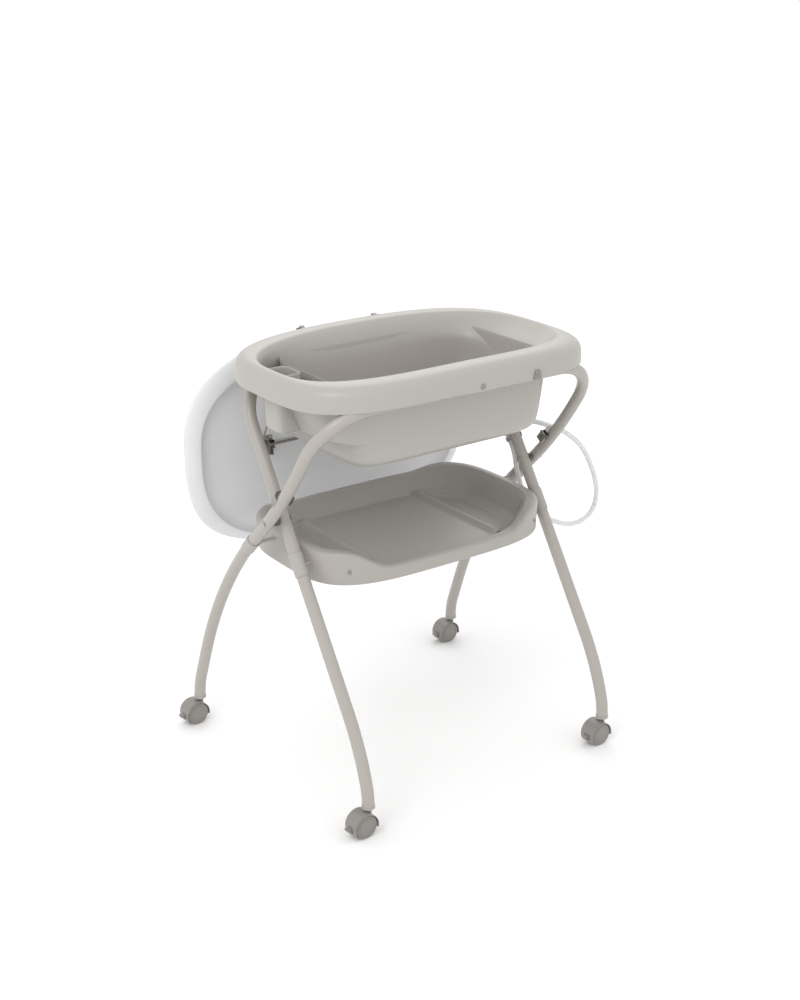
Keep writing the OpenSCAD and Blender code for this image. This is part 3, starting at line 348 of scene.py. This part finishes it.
def makeBath():
    rings = [bathRing(*r) for r in bathShape['inside'] + bathShape['rim'] + bathShape['outside']]
    shell = ringStack('bathShell', rings)
    for v in shell.data.vertices:  # the skirt dips under the button in the middle of the front
        x, y, z = v.co.x / mm, v.co.y / mm, v.co.z / mm
        if y < -225 and z < 842 and abs(x) < 46:
            t = max(0.0, min(1.0, (46 - abs(x)) / 22))
            v.co.z -= 5.0 * mm * t * t * (3 - 2 * t) * min(1, (842 - z) / 5)
    smoothPiece(shell, 1, 50)
    belly = ringStack('bathBelly', [bathRing(*r) for r in bathShape['bellyInside'] + bathShape['belly']])
    smoothPiece(belly, 1, 50)
    cx, cy = bathShape['cupMiddle']
    cup = ringStack('cupWell', [[(x, y, z) for x, y in superPoints(cx - a, cx + a, cy - b, cy + b, 5, 64)]
                                for z, a, b in bathShape['cup']])
    smoothPiece(cup, 1, 50)
    return shell, belly, cup


bathShell, bathBelly, cupWell = makeBath()
finishPiece(bathShell, 'tub', 'tub_plastic', finishes['tub'], 'tub_shell')
finishPiece(bathBelly, 'tub', 'tub_plastic', finishes['tub'])
finishPiece(cupWell, 'tub', 'tub_plastic', finishes['tub'])
print('bath made')

# the tray

trayShape = {'halfX': 290, 'halfY': 193, 'middleY': 31, 'power': 3.8, 'sides': 128, 'low': 450, 'top': 519,
             'frontDip': 479, 'backDip': 504, 'floor': 464, 'ridgeX': 150, 'ridgeHigh': 9.5,
             'pocketDeep': 9, 'columns': 150, 'rows': 70, 'thick': 1.8}


def easeStep(t):
    t = max(0.0, min(1.0, t))
    return t * t * (3 - 2 * t)


def trayRimZ(x, y):
    # the rim dips in the middle of the long sides
    s = trayShape
    low = s['frontDip'] if y < s['middleY'] else s['backDip']
    side = easeStep(abs(y - s['middleY']) / 60)
    return low + (s['top'] - low) * max(easeStep((abs(x) - 150) / 90), 1 - side)


def trayRing(inset, base, up, drop):
    s = trayShape
    out = []
    for x, y in superPoints(-s['halfX'] + inset, s['halfX'] - inset, s['middleY'] - s['halfY'] + inset,
                            s['middleY'] + s['halfY'] - inset, s['power'], s['sides']):
        out.append((x, y, base + (trayRimZ(x, y) - base) * up - drop))
    return out


def trayFloorZ(x, y):
    # two ridges cross the tray, and a deeper pocket lies outside each
    s = trayShape
    d = abs(x) - s['ridgeX']
    crest = s['ridgeHigh'] * (1 - easeStep((abs(d) - 2) / 15)) * easeStep((s['halfY'] - 42 - abs(y - s['middleY'])) / 13)
    pocket = s['pocketDeep'] * easeStep(d / 20) * easeStep((246 - abs(x)) / 14) * easeStep((146 - abs(y - s['middleY'])) / 16)
    return s['floor'] + crest - pocket


def makeTray():
    s = trayShape
    floor, low = s['floor'], s['low']
    under = [trayRing(120, floor - 13, 0, 0), trayRing(60, floor - 13, 0, 0), trayRing(48, floor - 11, 0.0, 0),
             trayRing(40, floor - 3, 0.16, 0), trayRing(34, floor - 3, 0.5, 0), trayRing(27, low, 1, 9),
             trayRing(23, low, 1, 4), trayRing(12, low, 1, 3.4), trayRing(7, low, 1, 6),
             trayRing(3.6, low, 1, 14),
             trayRing(4, low, 0.6, 0), trayRing(4.5, low, 0.08, 0), trayRing(4.6, low, 0.01, 0)]
    over = [trayRing(3.4, low, -0.006, 0), trayRing(2.2, low, 0.01, 0), trayRing(2, low, 0.08, 0),
            trayRing(1, low, 0.6, 0),
            trayRing(0, low, 1, 13), trayRing(0.6, low, 1, 7.5), trayRing(2.4, low, 1, 3.6),
            trayRing(5.5, low, 1, 1.2),
            trayRing(10, low, 1, 0), trayRing(16, low, 1, 0), trayRing(19.5, low, 1, 0.9),
            trayRing(22.5, low, 1, 3.6),
            trayRing(25, low, 1, 8), trayRing(28, floor, 0.66, 0), trayRing(31, floor, 0.42, 0),
            trayRing(35, floor, 0.2, 0),
            trayRing(39.5, floor, 0.07, 0), trayRing(45, floor, 0.01, 0.1), trayRing(49, floor, 0, 0.9),
            trayRing(56, floor, 0, 11.5), trayRing(120, floor, 0, 11.5)]
    shell = ringStack('trayShell', under + over)
    smoothPiece(shell, 1, 50)
    deselectAll()
    halfX, halfY = s['halfX'] - 41, s['halfY'] - 41
    bpy.ops.mesh.primitive_grid_add(x_subdivisions=s['columns'], y_subdivisions=s['rows'], size=2,
                                    location=(0, 0, 0))
    floorPiece = bpy.context.object
    floorPiece.name = 'trayFloor'
    for v in floorPiece.data.vertices:
        x = halfX * 0.992 * v.co.x
        y = s['middleY'] + v.co.y * halfY * (1 - (abs(x) / halfX) ** s['power']) ** (1 / s['power'])
        v.co = (x * mm, y * mm, trayFloorZ(x, y) * mm)
    thick = floorPiece.modifiers.new('thick', 'SOLIDIFY')
    thick.thickness = s['thick'] * mm
    thick.offset = -1
    bpy.context.view_layer.objects.active = floorPiece
    bpy.ops.object.modifier_apply(modifier='thick')
    smoothPiece(floorPiece, 0, 60)
    return shell, floorPiece


trayShell, trayFloor = makeTray()
finishPiece(trayShell, 'tray', 'tray_plastic', finishes['tray'], 'tray_shell')
finishPiece(trayFloor, 'tray', 'tray_plastic', finishes['tray'])
print('tray made')

# the tubes of the frame

tubeShape = {'radius': 12.5, 'corner': 115, 'sides': 28, 'innerX': 307, 'outerX': 338.5, 'splay': 1.0,
             # from the foot up: a straight length, or a bend's radius and angle
             'innerFoot': -293, 'innerPath': [(150, 16.2), (482, 17), (595,)],
             'outerFoot': 297, 'outerPath': [(150, -20.6), (73.2,), (926, -25.4), (36,), (1030, 13.2)]}


def stepEnd(at, step):
    y, z, a = at
    if len(step) == 1:
        return (y + step[0] * sin(radians(a)), z + step[0] * cos(radians(a)), a)
    b = a + step[1]
    r = step[0] * (1 if step[1] > 0 else -1)
    return (y + r * (cos(radians(a)) - cos(radians(b))), z + r * (sin(radians(b)) - sin(radians(a))), b)


def legFrames(path, foot, x, side, splay):
    # middle point and the two directions square to the tube, from the foot to the end of the corner bend
    at = (foot, 62, 0)
    places = [at]
    for step in path:
        parts = 2 if len(step) == 1 else ceil(abs(step[1]) / 2.2)
        for k in range(1, parts + 1):
            f = k / parts
            places.append(stepEnd(at, (step[0] * f,) if len(step) == 1 else (step[0], step[1] * f)))
        at = places[-1]
    topY, topZ, lean = at
    out = []
    for y, z, a in places:
        shift = (topZ - z) * tan(radians(splay))
        out.append((Vector((side * (x + shift), y, z)), Vector((1, 0, 0)),
                    Vector((0, cos(radians(a)), -sin(radians(a))))))
    along = Vector((0, sin(radians(lean)), cos(radians(lean))))
    for k in range(1, 19):
        b = radians(90 * k / 18)
        r = tubeShape['corner']
        mid = Vector((side * x, topY, topZ)) + r * (sin(b) * along - (1 - cos(b)) * side * Vector((1, 0, 0)))
        out.append((mid, cos(b) * Vector((1, 0, 0)) + side * sin(b) * along,
                    Vector((0, cos(radians(lean)), -sin(radians(lean))))))
    return out


def tubeRing(place, radius, sides):
    mid, u, v = place
    return [tuple(mid + radius * (cos(2 * pi * i / sides) * u + sin(2 * pi * i / sides) * v)) for i in range(sides)]


def makeTube(name, path, foot, x, splay):
    # one bent tube: up the left leg, along the crossbar and down the right leg
    left = legFrames(path, foot, x, -1, splay)
    right = legFrames(path, foot, x, 1, splay)
    # on the way down, the ring turns over so that it keeps its hand
    down = [(m, -u, v) for m, u, v in reversed(right)]
    left = [(m, u, v) for m, u, v in left]
    rings = [tubeRing(p, tubeShape['radius'], tubeShape['sides']) for p in left + down]
    tube = ringStack(name, rings)
    return smoothPiece(tube, 0, 40)


innerTube = makeTube('innerTube', tubeShape['innerPath'], tubeShape['innerFoot'], tubeShape['innerX'], 0)
outerTube = makeTube('outerTube', tubeShape['outerPath'], tubeShape['outerFoot'], tubeShape['outerX'],
                     tubeShape['splay'])
finishPiece(innerTube, 'inner_frame', 'tube_paint', finishes['frame'], 'inner_leg_left', 'inner_leg_right',
            'inner_crossbar')
finishPiece(outerTube, 'outer_frame', 'tube_paint', finishes['frame'], 'outer_leg_left', 'outer_leg_right',
            'outer_crossbar')
print('frame made')

# the changing top

topShape = {'halfX': 365, 'halfZ': 238, 'middleZ': 630, 'trim': 14, 'sides': 128,
            # inset, y
            'shell': [(90, 282), (66, 281.4), (40, 283.6), (14, 284), (4, 284), (1, 283), (0, 281),
                      (0.8, 279), (3, 277),
                      (9, 273.4), (16, 270), (24, 267.2), (30, 265.5), (35, 264.4), (38, 264.1),
                      (40.4, 264.6), (41.4, 265.6),
                      (44, 267.6), (48, 271), (54, 274), (66, 278), (90, 279.6)]}


def topRing(inset, y):
    # rounder above than below
    s = topShape
    out = []
    for i in range(s['sides']):
        c, t = cos(2 * pi * i / s['sides']), sin(2 * pi * i / s['sides'])
        power = 2.5 if t > 0 else 3.2
        sideIn = inset * (1 if t > 0 else 1 + 0.7 * t)
        x = (s['halfX'] - inset * 0.75) * (abs(c) ** (2 / power)) * (1 if c >= 0 else -1)
        high = s['halfZ'] - (s['trim'] if t > 0 else 0)
        z = (high - sideIn) * (abs(t) ** (2 / power)) * (1 if t >= 0 else -1)
        out.append((x, y, s['middleZ'] + z))
    return out


changerShell = ringStack('changerShell', [topRing(*r) for r in topShape['shell']])
smoothPiece(changerShell, 1, 50)
finishPiece(changerShell, 'changer', 'changer_plastic', finishes['changer'], 'changer_shell')

# inset, y
padRings = [(80, 284.4), (30, 284.4), (15, 284.6), (10, 286), (8.4, 288.4), (8.2, 291.5), (10, 295),
            (14, 298), (22, 299.6),
            (34, 299.8), (50, 298), (70, 295.4), (95, 294), (130, 293.6)]
changerPad = ringStack('changerPad', [topRing(*r) for r in padRings])
smoothPiece(changerPad, 1, 60)
finishPiece(changerPad, 'changer', 'pad_cover', finishes['pad'], 'changer_pad')

piping = {'inset': 9.2, 'place': 296.5, 'thick': 2.6}


def makePiping():
    # a welt sewn round the pad's edge
    line = bpy.data.curves.new('padPiping', 'CURVE')
    line.dimensions = '3D'
    line.bevel_depth = piping['thick'] / 2 * mm
    line.bevel_resolution = 3
    run = line.splines.new('POLY')
    points = topRing(piping['inset'], piping['place'])
    run.points.add(len(points) - 1)
    for target, p in zip(run.points, points):
        target.co = (p[0] * mm, p[1] * mm, p[2] * mm, 1)
    run.use_cyclic_u = True
    run.use_smooth = True
    welt = bpy.data.objects.new('padPiping', line)
    bpy.context.collection.objects.link(welt)
    return welt


padPiping = makePiping()
finishPiece(padPiping, 'changer', 'pad_cover', finishes['pad'])
print('changing top made')

# the drain hose

hoseShape = {'diameter': 11, 'steps': 4,
             'route': [(258, -11, 660), (290, -12, 659), (325, -15, 651), (363, -20, 636), (408, -20, 614),
                       (463, -20, 570), (500, -20, 510), (518, -20, 455), (514, -20, 415), (489, -20, 390),
                       (445, -20, 385), (400, -16, 400), (362, -8, 424), (335, 0, 455), (318, 8, 495),
                       (310, 16, 535),
                       (309, 26, 573), (309, 47, 605)]}


def smoothRoute(route, steps):
    pts = [Vector(p) for p in route]
    out = []
    for i in range(len(pts) - 1):
        p0, p1, p2, p3 = pts[max(i - 1, 0)], pts[i], pts[i + 1], pts[min(i + 2, len(pts) - 1)]
        for k in range(steps):
            t = k / steps
            out.append(0.5 * (2 * p1 + (p2 - p0) * t + (2 * p0 - 5 * p1 + 4 * p2 - p3) * t * t
                              + (3 * p1 - p0 - 3 * p2 + p3) * t * t * t))
    return out + [pts[-1]]


def makeHose():
    points = [p * mm for p in smoothRoute(hoseShape['route'], hoseShape['steps'])]
    line = bpy.data.curves.new('drainHose', 'CURVE')
    line.dimensions = '3D'
    line.bevel_depth = hoseShape['diameter'] / 2 * mm
    line.bevel_resolution = 5
    line.use_fill_caps = True
    run = line.splines.new('POLY')
    run.points.add(len(points) - 1)
    for target, p in zip(run.points, points):
        target.co = (*p, 1)
    run.use_smooth = True
    hose = bpy.data.objects.new('drainHose', line)
    bpy.context.collection.objects.link(hose)
    length = sum((b - a).length for a, b in zip(points, points[1:]))
    return hose, points, length


drainHose, hosePoints, hoseLength = makeHose()
finishPiece(drainHose, 'inner_frame', 'hose_plastic', finishes['hose'], 'hose')
print('hose made')
